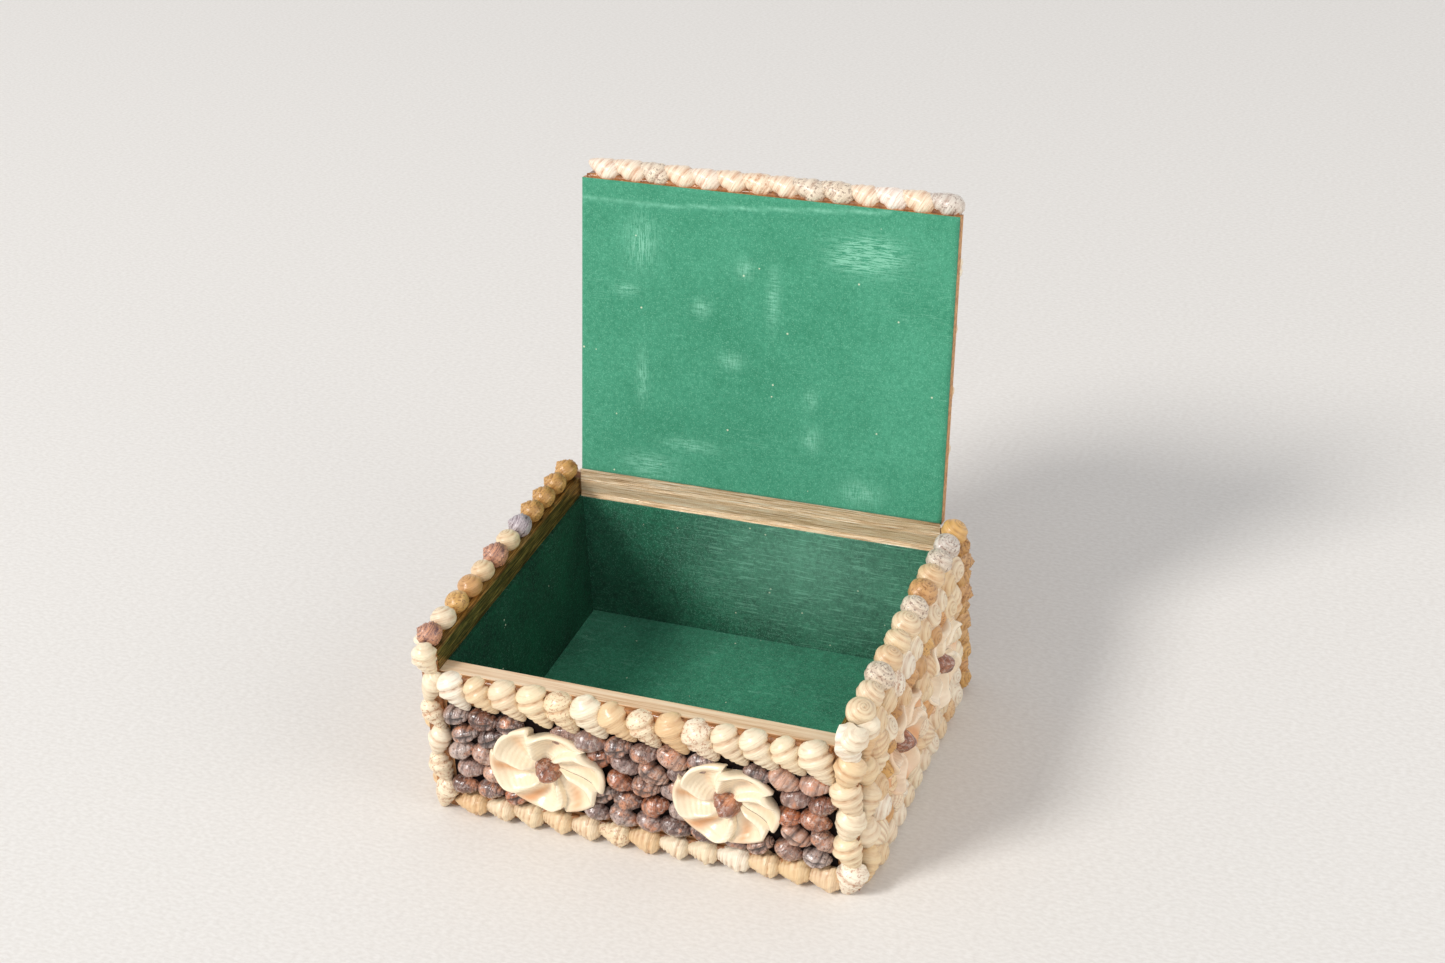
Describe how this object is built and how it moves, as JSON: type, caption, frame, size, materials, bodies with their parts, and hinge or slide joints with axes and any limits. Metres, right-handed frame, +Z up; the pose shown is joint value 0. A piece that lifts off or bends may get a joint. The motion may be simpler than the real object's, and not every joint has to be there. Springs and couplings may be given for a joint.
{
  "type": "shell box",
  "caption": "Rectangular hinged keepsake box of card with a green flock lining, covered outside with glued seashells in rows, fields and rosettes.",
  "frame": {"origin": "centre of the base board's underside, on the surface that the box stands on", "axes": "+X to the right seen from the front, +Y to the back where the hinge is, +Z up; at rest the lid stands open"},
  "size_m": [0.1519, 0.1461, 0.1693],
  "materials": {
    "board": "matt brown card",
    "flock": "short green flock on paper, rubbed pale in places",
    "gold_paper": "creped metallic gold paper",
    "edge_paper": "smooth peach-gold paper",
    "cream_shell": "ribbed cream seashells with tan seams",
    "brown_shell": "glossy mauve-brown small seashells",
    "petal_shell": "smooth ivory shell halves, tan in the hollows",
    "golden_shell": "beaded golden-brown seashells"
  },
  "bodies": {
    "box": {"base_board": "board", "front_wall": "board", "back_wall": "board", "left_wall": "board", "right_wall": "board", "floor_lining": "flock", "front_lining": "flock", "back_lining": "flock", "left_lining": "flock", "right_lining": "flock", "front_edge_strip": "edge_paper", "left_rim_foil": "gold_paper", "right_rim_foil": "gold_paper", "hinge_strip": "gold_paper", "front_top_row": "cream_shell", "front_bottom_row": "cream_shell", "front_left_column": "cream_shell", "front_right_column": "cream_shell", "front_field": "brown_shell", "front_left_rosette": "petal_shell", "front_right_rosette": "petal_shell", "right_rim_row": "cream_shell", "right_second_row": "cream_shell", "right_bottom_row": "cream_shell", "right_front_column": "cream_shell", "right_back_column": "golden_shell", "right_field": "cream_shell", "right_front_rosette": "petal_shell", "right_back_rosette": "petal_shell", "left_rim_row": "cream_shell", "left_second_row": "cream_shell", "left_bottom_row": "cream_shell", "left_front_column": "cream_shell", "left_back_column": "golden_shell", "left_field": "cream_shell", "left_front_rosette": "petal_shell", "left_back_rosette": "petal_shell", "back_top_row": "cream_shell", "back_bottom_row": "cream_shell", "back_left_column": "cream_shell", "back_right_column": "cream_shell", "back_field": "golden_shell", "back_rosette": "petal_shell"},
    "lid": {"lid_board": "gold_paper", "lid_lining": "flock", "lid_edge_row": "cream_shell", "lid_front_border": "cream_shell", "lid_back_border": "cream_shell", "lid_left_border": "cream_shell", "lid_right_border": "cream_shell", "lid_field": "golden_shell", "lid_rosette": "petal_shell"}
  },
  "joints": [
    {"name": "lid_hinge", "type": "hinge", "parent": "box", "child": "lid", "pos_m": [0, 0.0556, 0.05799], "axis": [1, 0, 0], "range_deg": [0, 101.3]}
  ]
}
